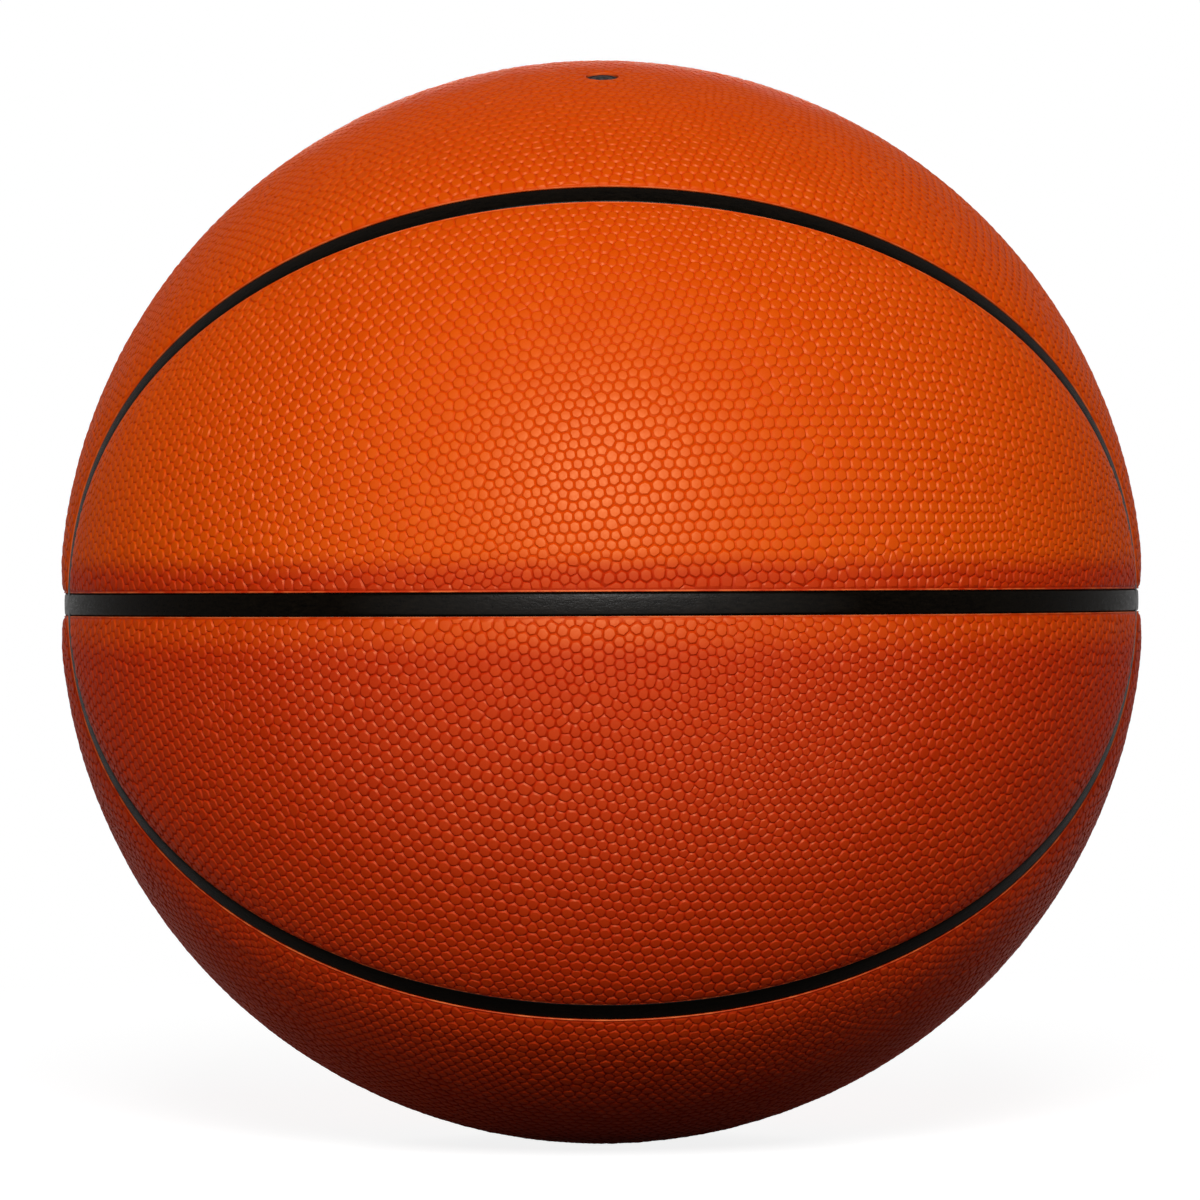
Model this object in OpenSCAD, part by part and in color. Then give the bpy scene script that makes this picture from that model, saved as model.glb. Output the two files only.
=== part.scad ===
// Full-size basketball, built in layers from the bladder outwards.
// Eight cover panels lie on foam pads in the pockets of a ribbed rubber carcass. The ribs are the floor of the
// channels between the panels. Below the carcass come the thread winding, the bladder and the needle valve.
// The origin is the ball's centre and +Z is up. The level seam lies in the XY plane and the upright seam in the
// XZ plane. An oval seam runs round each end of the Y axis, and -Y is the front.

/* [Ball] */
// Diameter over the cover panels
ball_d = 243; // [230:1:250]
// Thickness of a cover panel
cover_t = 1.5; // [1.2:0.1:2]
// Thickness of the foam pad under a cover panel
pad_t = 1.3; // [0.8:0.1:2]
// Thickness of the carcass wall under the pads
carcass_t = 2; // [1.5:0.1:3]
// Thickness of the thread winding
winding_t = 0.8; // [0.5:0.1:1.5]
// Thickness of the bladder wall
bladder_t = 1; // [0.8:0.1:1.5]
// Glue line between one layer and the next
glue_line = 0.1; // [0.05:0.01:0.15]

/* [Seams] */
// Width of the black rib between two panels
rib_w = 4.9; // [4:0.1:7]
// Depth of the rib's top below the ball's surface
rib_depth = 1.1; // [0.9:0.05:1.3]
// Gap between a rib and the panel beside it
rib_gap = 0.1; // [0.05:0.01:0.2]
// Width of the rolled shoulder along a panel's edges
shoulder_w = 8; // [5:0.1:9]
// Drop of a panel's edge below the ball's surface
shoulder_drop = 0.8; // [0.5:0.05:0.85]
// Distance along the surface between the two oval seams, where they come closest at each side of the ball
oval_end_gap = 46; // [36:0.1:60]
// Reach of an oval seam up and down, along the surface from its middle
oval_rise = 97.9; // [88:0.1:106]

/* [Valve] */
// Distance along the surface from the upright seam to the valve
valve_offset = 37.9; // [32:0.1:50]
// Diameter of the valve housing's stem and head
seat_d = 7; // [6:0.1:8]
// Gap between the head of the housing and the panel's hole
seat_gap = 0.2; // [0.1:0.05:0.4]
// Depth of the housing's head below the ball's surface
seat_recess = 0.8; // [0.4:0.1:1.2]
// Length of the housing's barrel inside its flange
barrel_l = 9; // [7:0.5:12]
// Diameter of the housing's flange
flange_d = 20; // [14:0.5:24]
// Thickness of the housing's flange
flange_t = 1.2; // [0.8:0.1:2]
// Diameter of the patch over the flange
patch_d = 32; // [26:0.5:40]
// Thickness of the patch over the flange
patch_t = 0.8; // [0.5:0.1:1.5]
// Diameter of the plug's head
plug_head_d = 5.2; // [4.6:0.1:5.6]
// Thickness of the plug's head
plug_head_t = 1.6; // [1:0.1:2.5]
// Diameter of the plug's stem
plug_stem_d = 3.8; // [3.2:0.1:4.2]
// Diameter of the bulb that holds the plug in the housing
plug_bulb_d = 5; // [4.6:0.1:5.4]
// Length of the bulb
plug_bulb_l = 3.4; // [2:0.1:5]
// Diameter of the relaxed needle channel through the plug
needle_d = 1.9; // [1.6:0.05:2.2]
// Diameter of the needle's lead-in at the plug's top
lead_in_d = 3; // [2.6:0.1:3.4]
// Depth of the needle's lead-in
lead_in_depth = 0.8; // [0.4:0.1:1]
// Gap between the plug and the housing
plug_gap = 0.05; // [0.03:0.01:0.1]

/* [Smoothness] */
// Flats along an oval seam
oval_steps = 80; // [48:4:96]
// Strips across the rolled shoulder beside an oval seam
roll_steps = 3; // [2:1:4]

/* [Hidden] */
$fn = 144;

// Colours
cover_colour = "#d65a12";
foam_colour = "#d8cfb8";
carcass_colour = "#1b1b1c";
thread_colour = "#e6e1d2";
bladder_colour = "#2a2a2c";
valve_colour = "#232325";
plug_colour = "#38383b";

// Radii of the layers, from the surface inwards
ball_r = ball_d / 2;
cover_in_r = ball_r - cover_t;
pad_out_r = cover_in_r - glue_line;
pad_in_r = pad_out_r - pad_t;
carcass_out_r = pad_in_r - glue_line;
carcass_in_r = carcass_out_r - carcass_t;
winding_out_r = carcass_in_r - glue_line;
winding_in_r = winding_out_r - winding_t;
bladder_out_r = winding_in_r - glue_line;
bladder_in_r = bladder_out_r - bladder_t;

// Cutting bodies reach this far past what they cut
overrun = cover_t;

// Half widths of the seams, and the angles that arcs of the surface span at the centre
rib_half = rib_w / 2;
edge_half = rib_half + rib_gap;
function arc_angle(arc) = arc / ball_r * 180 / PI;

// A circular arc rolls a panel's outside over from its full height to its edge. The arc is set out in the plane
// across a seam, where the first axis runs outwards through the seam and the second along the surface.
// It starts at a slight slant to the ball, and the share says how much of the fall is its own curve.
curve_share = 0.6;
// The arc is carried on past the ball's surface by this share of its length
lead_share = 0.2;
roll_top = ball_r * [cos(arc_angle(edge_half + shoulder_w)), sin(arc_angle(edge_half + shoulder_w))];
roll_foot = [sqrt(pow(ball_r - shoulder_drop, 2) - pow(edge_half, 2)), edge_half];
roll_chord = roll_foot - roll_top;
roll_tangent = [roll_top.y, -roll_top.x] / ball_r;
roll_turn = curve_share * acos(roll_chord * roll_tangent / norm(roll_chord));
roll_r = norm(roll_chord) / 2 / sin(roll_turn);
roll_inward = [roll_chord.y, -roll_chord.x] / norm(roll_chord);
roll_centre = (roll_top + roll_foot) / 2 + roll_inward * roll_r * cos(roll_turn);
roll_foot_angle = atan2(roll_foot.y - roll_centre.y, roll_foot.x - roll_centre.x);
roll_sweep = 2 * roll_turn * (1 + lead_share);

// Point on the arc, from its foot at 0 to its end past the ball's surface at 1
function roll_point(share) = roll_centre + roll_r * [cos(roll_foot_angle + roll_sweep * share),
    sin(roll_foot_angle + roll_sweep * share)];

// An oval seam reaches to each side as far as the gap at the ball's side allows
oval_reach = (PI * ball_r - oval_end_gap) / 2;

// The oval seam is an ellipse in the view of the ball from the middle of its far side. Its half axes there:
oval_half_x = tan(arc_angle(oval_reach) / 2);
oval_half_z = tan(arc_angle(oval_rise) / 2);

// Direction from the centre to the front oval seam at a turn round it, moved outwards across the seam by an angle
function oval_direction(turn, across) =
    let (u = oval_half_x * cos(turn), v = oval_half_z * sin(turn), s = 1 + u * u + v * v,
        nu = oval_half_z * cos(turn), nv = oval_half_x * sin(turn), ds = 2 * (u * nu + v * nv),
        seam = [2 * u / s, 1 - 2 / s, 2 * v / s],
        slope = [nu * s - u * ds, ds, nv * s - v * ds])
    seam * cos(across) + slope / norm(slope) * sin(across);

// Valve axis: the valve leans forward from +Z
valve_lean = arc_angle(valve_offset);
seat_r = seat_d / 2;
panel_hole_r = seat_r + seat_gap;
layer_hole_r = seat_r + glue_line;
flange_out_r = bladder_in_r - glue_line;
flange_in_r = flange_out_r - flange_t;
seat_top = ball_r - seat_recess;
seat_foot = flange_in_r - barrel_l;

// The plug fills the housing: a head in a counterbore, a stem, and a bulb in a chamber above the throat
plug_head_r = plug_head_d / 2;
plug_stem_r = plug_stem_d / 2;
plug_bulb_r = plug_bulb_d / 2;
plug_foot = seat_foot;
throat_l = plug_stem_r;
bulb_foot = plug_foot + throat_l + plug_gap;
bulb_top = bulb_foot + plug_bulb_l;
head_foot = seat_top - plug_head_t;
needle_r = needle_d / 2;
lead_in_r = lead_in_d / 2;

// Spherical wall between two radii
module ball_wall(out_r, in_r) {
    difference() {
        sphere(out_r);
        sphere(in_r);
    }
}

// Everything inside the front oval seam, as a pyramid from the centre with its base in front of the ball.
// Each ring is a radius and an angle across the seam, from the centre outwards.
module oval_pyramid(rings) {
    front = ball_r + overrun;
    last = len(rings) - 1;
    turns = [for (k = [0:oval_steps - 1]) 360 * k / oval_steps];
    ring_points = [for (ring = rings, turn = turns) ring[0] * oval_direction(turn, ring[1])];
    base_points = [for (turn = turns) let (d = oval_direction(turn, rings[last][1])) -d * front / d.y];
    tip_faces = [for (k = [0:oval_steps - 1]) [0, 1 + k, 1 + (k + 1) % oval_steps]];
    side_faces = [for (ring = [0:last], k = [0:oval_steps - 1]) let (
        a = 1 + ring * oval_steps + k,
        b = 1 + ring * oval_steps + (k + 1) % oval_steps)
        each [[a, a + oval_steps, b + oval_steps], [a, b + oval_steps, b]]];
    base_face = [for (k = [0:oval_steps - 1]) 1 + (last + 1) * oval_steps + k];
    polyhedron(points = concat([[0, 0, 0]], ring_points, base_points),
        faces = concat(tip_faces, side_faces, [base_face]));
}

// Straight-sided pyramid whose side stands off the seam by a distance, outwards if positive
module oval_block(offset) {
    oval_pyramid([[ball_r, arc_angle(offset)]]);
}

// Pyramid whose side ends in the rolled shoulder. The side is 1 outside the seam and -1 inside it.
module rolled_oval_block(side) {
    oval_pyramid([for (k = [0:roll_steps]) let (p = roll_point(k / roll_steps))
        [norm(p), side * atan2(p.y, p.x)]]);
}

// Space above a level
module above(level) {
    translate([-ball_d, -ball_d, level])
        cube([2 * ball_d, 2 * ball_d, ball_d]);
}

// Space in front of a plane that stands off the upright seam
module in_front(level) {
    translate([-ball_d, -ball_d - level, -ball_d])
        cube([2 * ball_d, ball_d, 2 * ball_d]);
}

// Ring that rolls over the edge of every panel above the level seam
module roll_ring() {
    lead = roll_point(1);
    rotate_extrude()
        difference() {
            translate([cover_in_r, 0])
                square([cover_t + overrun, lead.y]);
            translate(roll_centre)
                circle(roll_r);
        }
}

// The same ring for the panels in front of the upright seam
module upright_roll_ring() {
    rotate([90, 0, 0])
        roll_ring();
}

// Place of a panel: the modules above make the front top one, and the others mirror it
module in_place(back, bottom) {
    mirror([0, back, 0])
        mirror([0, 0, bottom])
            children();
}

// Turn a shape that stands on +Z to the valve's axis
module on_valve_axis() {
    rotate([valve_lean, 0, 0])
        children();
}

// Hole for the valve through a layer
module valve_hole(hole_r) {
    on_valve_axis()
        translate([0, 0, seat_foot])
            cylinder(h = ball_r - seat_foot + overrun, r = hole_r);
}

// Region of a lobe, which is the upper half of the oval, with its sides off the seams by a distance
module lobe_region(offset) {
    intersection() {
        oval_block(-offset);
        above(offset);
    }
}

// Region of an arch, between the oval and the upright seam
module arch_region(offset) {
    difference() {
        intersection() {
            above(offset);
            in_front(offset);
        }
        oval_block(offset);
    }
}

module lobe_cover() {
    color(cover_colour)
        difference() {
            intersection() {
                ball_wall(ball_r, cover_in_r);
                rolled_oval_block(-1);
                above(edge_half);
            }
            roll_ring();
        }
}

module arch_cover() {
    color(cover_colour)
        difference() {
            intersection() {
                ball_wall(ball_r, cover_in_r);
                above(edge_half);
                in_front(edge_half);
            }
            rolled_oval_block(1);
            roll_ring();
            upright_roll_ring();
        }
}

module lobe_pad() {
    color(foam_colour)
        intersection() {
            ball_wall(pad_out_r, pad_in_r);
            lobe_region(edge_half);
        }
}

module arch_pad() {
    color(foam_colour)
        intersection() {
            ball_wall(pad_out_r, pad_in_r);
            arch_region(edge_half);
        }
}

module cover_front_top_lobe() {
    in_place(0, 0)
        lobe_cover();
}

module cover_front_bottom_lobe() {
    in_place(0, 1)
        lobe_cover();
}

module cover_back_top_lobe() {
    in_place(1, 0)
        lobe_cover();
}

module cover_back_bottom_lobe() {
    in_place(1, 1)
        lobe_cover();
}

// The only panel with the valve's hole
module cover_front_top_arch() {
    difference() {
        in_place(0, 0)
            arch_cover();
        valve_hole(panel_hole_r);
    }
}

module cover_front_bottom_arch() {
    in_place(0, 1)
        arch_cover();
}

module cover_back_top_arch() {
    in_place(1, 0)
        arch_cover();
}

module cover_back_bottom_arch() {
    in_place(1, 1)
        arch_cover();
}

module pad_front_top_lobe() {
    in_place(0, 0)
        lobe_pad();
}

module pad_front_bottom_lobe() {
    in_place(0, 1)
        lobe_pad();
}

module pad_back_top_lobe() {
    in_place(1, 0)
        lobe_pad();
}

module pad_back_bottom_lobe() {
    in_place(1, 1)
        lobe_pad();
}

module pad_front_top_arch() {
    difference() {
        in_place(0, 0)
            arch_pad();
        valve_hole(layer_hole_r);
    }
}

module pad_front_bottom_arch() {
    in_place(0, 1)
        arch_pad();
}

module pad_back_top_arch() {
    in_place(1, 0)
        arch_pad();
}

module pad_back_bottom_arch() {
    in_place(1, 1)
        arch_pad();
}

// Rubber ball with eight pockets, whose leftover walls are the ribs
module carcass() {
    color(carcass_colour)
        difference() {
            ball_wall(ball_r - rib_depth, carcass_in_r);
            for (back = [0, 1], bottom = [0, 1])
                in_place(back, bottom)
                    difference() {
                        union() {
                            lobe_region(rib_half);
                            arch_region(rib_half);
                        }
                        sphere(carcass_out_r);
                    }
            valve_hole(layer_hole_r);
        }
}

module thread_winding() {
    color(thread_colour)
        difference() {
            ball_wall(winding_out_r, winding_in_r);
            valve_hole(layer_hole_r);
        }
}

module bladder() {
    color(bladder_colour)
        difference() {
            ball_wall(bladder_out_r, bladder_in_r);
            valve_hole(layer_hole_r);
        }
}

// Patch with a pocket for the flange, which it covers from inside the bladder
module valve_patch() {
    patch_in_r = flange_in_r - glue_line - patch_t;
    color(bladder_colour)
        difference() {
            intersection() {
                ball_wall(flange_out_r, patch_in_r);
                on_valve_axis()
                    cylinder(h = ball_r, r = patch_d / 2);
            }
            difference() {
                on_valve_axis()
                    cylinder(h = ball_r, r = flange_d / 2 + glue_line);
                sphere(flange_in_r - glue_line);
            }
            valve_hole(layer_hole_r);
        }
}

// Outline of the plug's outside at a clearance, from the axis at its top to the axis at its foot
function plug_outline(gap) = [
    [0, seat_top],
    [plug_head_r + gap, seat_top],
    [plug_head_r + gap, head_foot - gap],
    [plug_stem_r + gap, head_foot - gap],
    [plug_stem_r + gap, bulb_top + gap],
    [plug_bulb_r + gap, bulb_top + gap],
    [plug_bulb_r + gap, bulb_foot - gap],
    [plug_stem_r + gap, bulb_foot - gap],
    [plug_stem_r + gap, plug_foot],
    [0, plug_foot]];

// Housing: a stem with a flange inside the bladder, hollowed for the plug
module valve_seat() {
    color(valve_colour)
        difference() {
            union() {
                on_valve_axis()
                    translate([0, 0, seat_foot])
                        cylinder(h = seat_top - seat_foot, r = seat_r);
                intersection() {
                    ball_wall(flange_out_r, flange_in_r);
                    on_valve_axis()
                        cylinder(h = ball_r, r = flange_d / 2);
                }
            }
            on_valve_axis()
                rotate_extrude()
                    polygon(plug_outline(plug_gap));
        }
}

// Plug with its needle channel and lead-in
module valve_core() {
    color(plug_colour)
        on_valve_axis()
            rotate_extrude()
                difference() {
                    polygon(plug_outline(0));
                    polygon([
                        [0, seat_top],
                        [lead_in_r, seat_top],
                        [needle_r, seat_top - lead_in_depth],
                        [needle_r, plug_foot],
                        [0, plug_foot]]);
                }
}

cover_front_top_lobe();
cover_front_bottom_lobe();
cover_back_top_lobe();
cover_back_bottom_lobe();
cover_front_top_arch();
cover_front_bottom_arch();
cover_back_top_arch();
cover_back_bottom_arch();
pad_front_top_lobe();
pad_front_bottom_lobe();
pad_back_top_lobe();
pad_back_bottom_lobe();
pad_front_top_arch();
pad_front_bottom_arch();
pad_back_top_arch();
pad_back_bottom_arch();
carcass();
thread_winding();
bladder();
valve_patch();
valve_seat();
valve_core();
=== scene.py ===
"""Looks of a full-size basketball, built around its packed construction model.

Each cover panel is cut out of its own sheet of pebbled cells along the seams, a node tree raises the pebbles, and the
panel is closed with a pressed rim and an inner face. Everything is in metres, with the ball's centre at the origin.
"""

import math

import bmesh
import bpy
import numpy as np
from bpy.props import FloatProperty, FloatVectorProperty, IntProperty, PointerProperty
from mathutils import Matrix, Vector
from mathutils.geometry import delaunay_2d_cdt


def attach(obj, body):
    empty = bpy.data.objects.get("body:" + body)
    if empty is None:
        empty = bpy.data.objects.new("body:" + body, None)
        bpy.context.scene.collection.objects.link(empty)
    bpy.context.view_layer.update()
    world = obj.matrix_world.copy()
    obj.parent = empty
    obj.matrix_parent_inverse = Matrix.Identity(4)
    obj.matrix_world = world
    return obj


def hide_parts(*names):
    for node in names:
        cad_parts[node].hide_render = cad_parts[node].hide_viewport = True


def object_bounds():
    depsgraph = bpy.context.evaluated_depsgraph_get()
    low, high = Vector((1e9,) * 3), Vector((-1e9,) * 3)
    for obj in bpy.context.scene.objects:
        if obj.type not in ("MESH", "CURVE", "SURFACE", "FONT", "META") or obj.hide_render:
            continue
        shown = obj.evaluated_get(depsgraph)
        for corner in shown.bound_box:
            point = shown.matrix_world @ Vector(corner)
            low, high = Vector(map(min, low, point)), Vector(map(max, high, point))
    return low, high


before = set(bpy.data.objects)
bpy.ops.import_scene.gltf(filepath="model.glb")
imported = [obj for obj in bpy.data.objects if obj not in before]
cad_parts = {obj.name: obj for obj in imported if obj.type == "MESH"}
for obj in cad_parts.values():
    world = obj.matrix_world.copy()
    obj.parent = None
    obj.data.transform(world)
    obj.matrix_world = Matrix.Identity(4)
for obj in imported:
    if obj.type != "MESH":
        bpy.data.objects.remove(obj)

bl_info = {
    "name": "Basketball",
    "version": (1, 0, 0),
    "blender": (4, 5, 0),
    "location": "3D View > Sidebar > Basketball",
    "description": "Pebbled panels, foam, ribs and valve of a basketball, with a studio around it",
    "category": "Object",
}

MM = 0.001
CAD_BOX = [list(corner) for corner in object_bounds()]

# Each panel's name, whether it is a lobe, the signs that carry the front top one to its place, how much painted shade
# darkens it, most on the lower panels, and its change beside the level seam: more painted shade on the top panels and
# painted light on the bottom ones
PANELS = [
    ("front_top_lobe", True, 1, 1, 0.0, 1.0),
    ("front_bottom_lobe", True, 1, -1, 1.0, -0.5),
    ("back_top_lobe", True, -1, 1, 0.3, 0.3),
    ("back_bottom_lobe", True, -1, -1, 0.7, -0.3),
    ("front_top_arch", False, 1, 1, 0.05, 0.3),
    ("front_bottom_arch", False, 1, -1, 0.95, -0.3),
    ("back_top_arch", False, -1, 1, 0.4, 0.2),
    ("back_bottom_arch", False, -1, -1, 0.6, -0.2),
]
VALVE_PANEL = "front_top_arch"
# The painted shade and painted light beside the level seam: how far from it the fade begins, and its width
FADE_START, FADE_W = 5.5 * MM, 6 * MM

# A panel's sheet of cells, in cells: how far it runs past the panel, the band beyond the rim where no cell has its
# middle, and how near a cut a corner is moved onto it
SHEET_MARGIN = 3
BARE_BAND = (-0.75, -0.12)
SNAP = 0.05
# Size of a pebble by the width of its cell, as a share: gain, loss, most, and the size where it would fold
SIZE_GAIN, SIZE_LOSS, SIZE_MOST, SIZE_FOLDING = 1.15, 0.15, 1.1, 0.15
FOAM_PITCH, FOAM_RIM = 5 * MM, 0.3 * MM
# Rows of the pressed rim: distance from the panel's edge and depth below its surface
RIM_ROWS = [(0.3 * MM, 0.32 * MM), (0.2 * MM, 0.24 * MM), (0.11 * MM, 0.22 * MM), (0.03 * MM, 0.28 * MM),
            (0.0 * MM, 0.41 * MM)]
# How far up a pebble its table's edge and its top count
TABLE_MARK, CROWN_MARK = 0.7, 1.0
# A point this near the rim is on it, and points this near each other become one
ON_RIM, DOUBLED = 0.03 * MM, 0.001 * MM

RIB_CROWN = 0.12 * MM
SEAM_POINTS = 360
SHELL_STEPS, SHELL_AROUND = 60, 96
LAMP_DISTANCE = 1.6
WHITE = (1, 1, 1)
# The range that most of a noise lies in
MOST = (0.3, 0.7)


def length(name, description, default):
    return FloatProperty(name=name, description=description, default=default, min=0, precision=5, unit="LENGTH")


def share(name, description, default):
    return FloatProperty(name=name, description=description, default=default, min=0, max=1, subtype="FACTOR")


def angle(name, description, degrees):
    return FloatProperty(name=name, description=description, default=math.radians(degrees), subtype="ANGLE")


def watts(name, description, default):
    return FloatProperty(name=name, description=description, default=default, unit="POWER")


def colour(name, description, default):
    return FloatVectorProperty(name=name, description=description, default=default, size=3, min=0, max=1,
                               subtype="COLOR")


class BallSizes(bpy.types.PropertyGroup):
    ball_d: length("Ball", "Diameter over the cover panels", 243 * MM)
    cover_t: length("Cover", "Thickness of a cover panel", 1.5 * MM)
    pad_t: length("Foam", "Thickness of the foam under a panel", 1.3 * MM)
    glue_line: length("Glue line", "Glue line between one layer and the next", 0.1 * MM)
    edge_half: length("Seam", "Half the distance between two panels", 2.55 * MM)
    shoulder_w: length("Shoulder", "Width of the rolled shoulder along a panel's edges", 8 * MM)
    shoulder_drop: length("Shoulder drop", "Drop of a panel's edge below the ball's surface", 0.8 * MM)
    rib_w: length("Rib", "Width of the black rib between two panels", 4.9 * MM)
    rib_depth: length("Rib depth", "Depth of the rib's top below the ball's surface", 1.1 * MM)
    rib_corner: length("Rib corner", "Radius of the rib's top corners", 0.55 * MM)
    carcass_t: length("Carcass", "Thickness of the carcass under the foam", 2 * MM)
    oval_end_gap: length("Oval gap", "Distance between the two oval seams at each side of the ball", 46 * MM)
    oval_rise: length("Oval rise", "Reach of an oval seam up and down from its middle", 97.9 * MM)
    valve_offset: length("Valve place", "Distance along the surface from the upright seam to the valve", 37.9 * MM)
    valve_hole_d: length("Valve hole", "Diameter of the panel's hole for the valve", 7.4 * MM)


class PebbleSizes(bpy.types.PropertyGroup):
    pitch: length("Pitch", "Distance from one pebble to the next", 2.5 * MM)
    height: length("Height", "Height of a pebble over the valley beside it", 0.35 * MM)
    height_spread: share("Height spread", "How much the pebbles differ in height", 0.25)
    scatter: share("Scatter", "How far the pebbles stray from even rows, in pitches", 0.2)
    table_share: share("Table", "Width of a pebble's flatter top", 0.76)
    table_height: share("Table height", "Height of the edge of that top", 0.77)
    roundness: share("Roundness", "How round the top is, from the shape of its cell to a circle", 0.7)
    rim_w: length("Rim", "Width of the pressed rim along a panel's edge", 0.4 * MM)
    seed: IntProperty(name="Seed", description="Seed of the pebbled sheets", default=11)


class ValveSizes(bpy.types.PropertyGroup):
    recess: length("Recess", "Drop of the housing's top below the ball's surface", 0.8 * MM)
    layers_t: length("Layers", "Thickness of the carcass, winding and bladder with their glue lines", 4.2 * MM)
    housing_d: length("Housing", "Diameter of the housing's stem", 7 * MM)
    barrel_l: length("Barrel", "Length of the housing inside its flange", 9 * MM)
    flange_d: length("Flange", "Diameter of the housing's flange", 20 * MM)
    flange_t: length("Flange thickness", "Thickness of the housing's flange", 1.2 * MM)
    head_d: length("Plug head", "Diameter of the plug's head", 5.2 * MM)
    head_t: length("Plug head thickness", "Thickness of the plug's head", 1.6 * MM)
    stem_d: length("Plug stem", "Diameter of the plug's stem", 3.8 * MM)
    bulb_d: length("Plug bulb", "Diameter of the bulb that holds the plug", 5 * MM)
    bulb_l: length("Plug bulb length", "Length of the bulb", 3.4 * MM)
    needle_d: length("Needle channel", "Diameter of the channel for the needle", 1.9 * MM)
    lead_in_d: length("Lead-in", "Diameter of the needle's lead-in", 3 * MM)
    lead_in_depth: length("Lead-in depth", "Depth of the needle's lead-in", 0.8 * MM)
    gap: length("Gap", "Gap between the plug and the housing", 0.05 * MM)


class BallColours(bpy.types.PropertyGroup):
    # The deep colours are shaded copies of the pale ones, for the panels with the most painted shade; the valleys'
    # colours are darker than the tops' as painted shade
    crest: colour("Pebble top", "Colour of the pebbles' tops in the palest panel", (0.78, 0.096, 0.0020))
    valley: colour("Valley", "Colour of the valleys in the palest panel", (0.68, 0.059, 0.0010))
    shaded_crest: colour("Deep pebble top", "Colour of the pebbles' tops in the deepest panel", (0.63, 0.045, 0.0035))
    shaded_valley: colour("Deep valley", "Colour of the valleys in the deepest panel", (0.49, 0.020, 0.0014))
    rim: colour("Rim", "Colour of the pressed rim along the panels", (0.82, 0.15, 0.035))
    rubber: colour("Rubber", "Colour of the ribs between the panels", (0.0022, 0.0015, 0.0009))
    foam: colour("Foam", "Colour of the foam under the panels", (0.62, 0.55, 0.42))
    thread: colour("Thread", "Colour of the thread winding", (0.70, 0.66, 0.56))
    valve: colour("Valve", "Colour of the valve's housing", (0.016, 0.015, 0.015))


class StudioSizes(bpy.types.PropertyGroup):
    camera_distance: length("Camera distance", "From the ball's centre to the camera", 1.458)
    focal: FloatProperty(name="Lens", description="Focal length on a 36 mm wide sensor", default=194.44,
                         unit="CAMERA")
    azimuth: angle("Azimuth", "Camera's turn to the left", 1.0)
    elevation: angle("Elevation", "Camera's height round the ball", 0.2)
    roll: angle("Roll", "Tilt of the picture", 0.25)
    key_watts: watts("Key light", "Power of the soft light over the camera", 21.6)
    key_elevation: angle("Key height", "Height of the soft light over the level", 26)
    key_azimuth: angle("Key turn", "Turn of the soft light to the camera's left", 0.5)
    key_size: length("Key size", "Side of the soft light", 0.5)
    back_watts: watts("Back light", "Power of the soft light behind the ball", 11)
    back_elevation: angle("Back height", "Height of the light behind over the level", 12)
    fill: share("Fill", "Light that the room gives from all round", 0.012)


# Shapes of the seams, as the construction model has them


def unit(v):
    return v / np.linalg.norm(v, axis=-1, keepdims=True)


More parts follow.
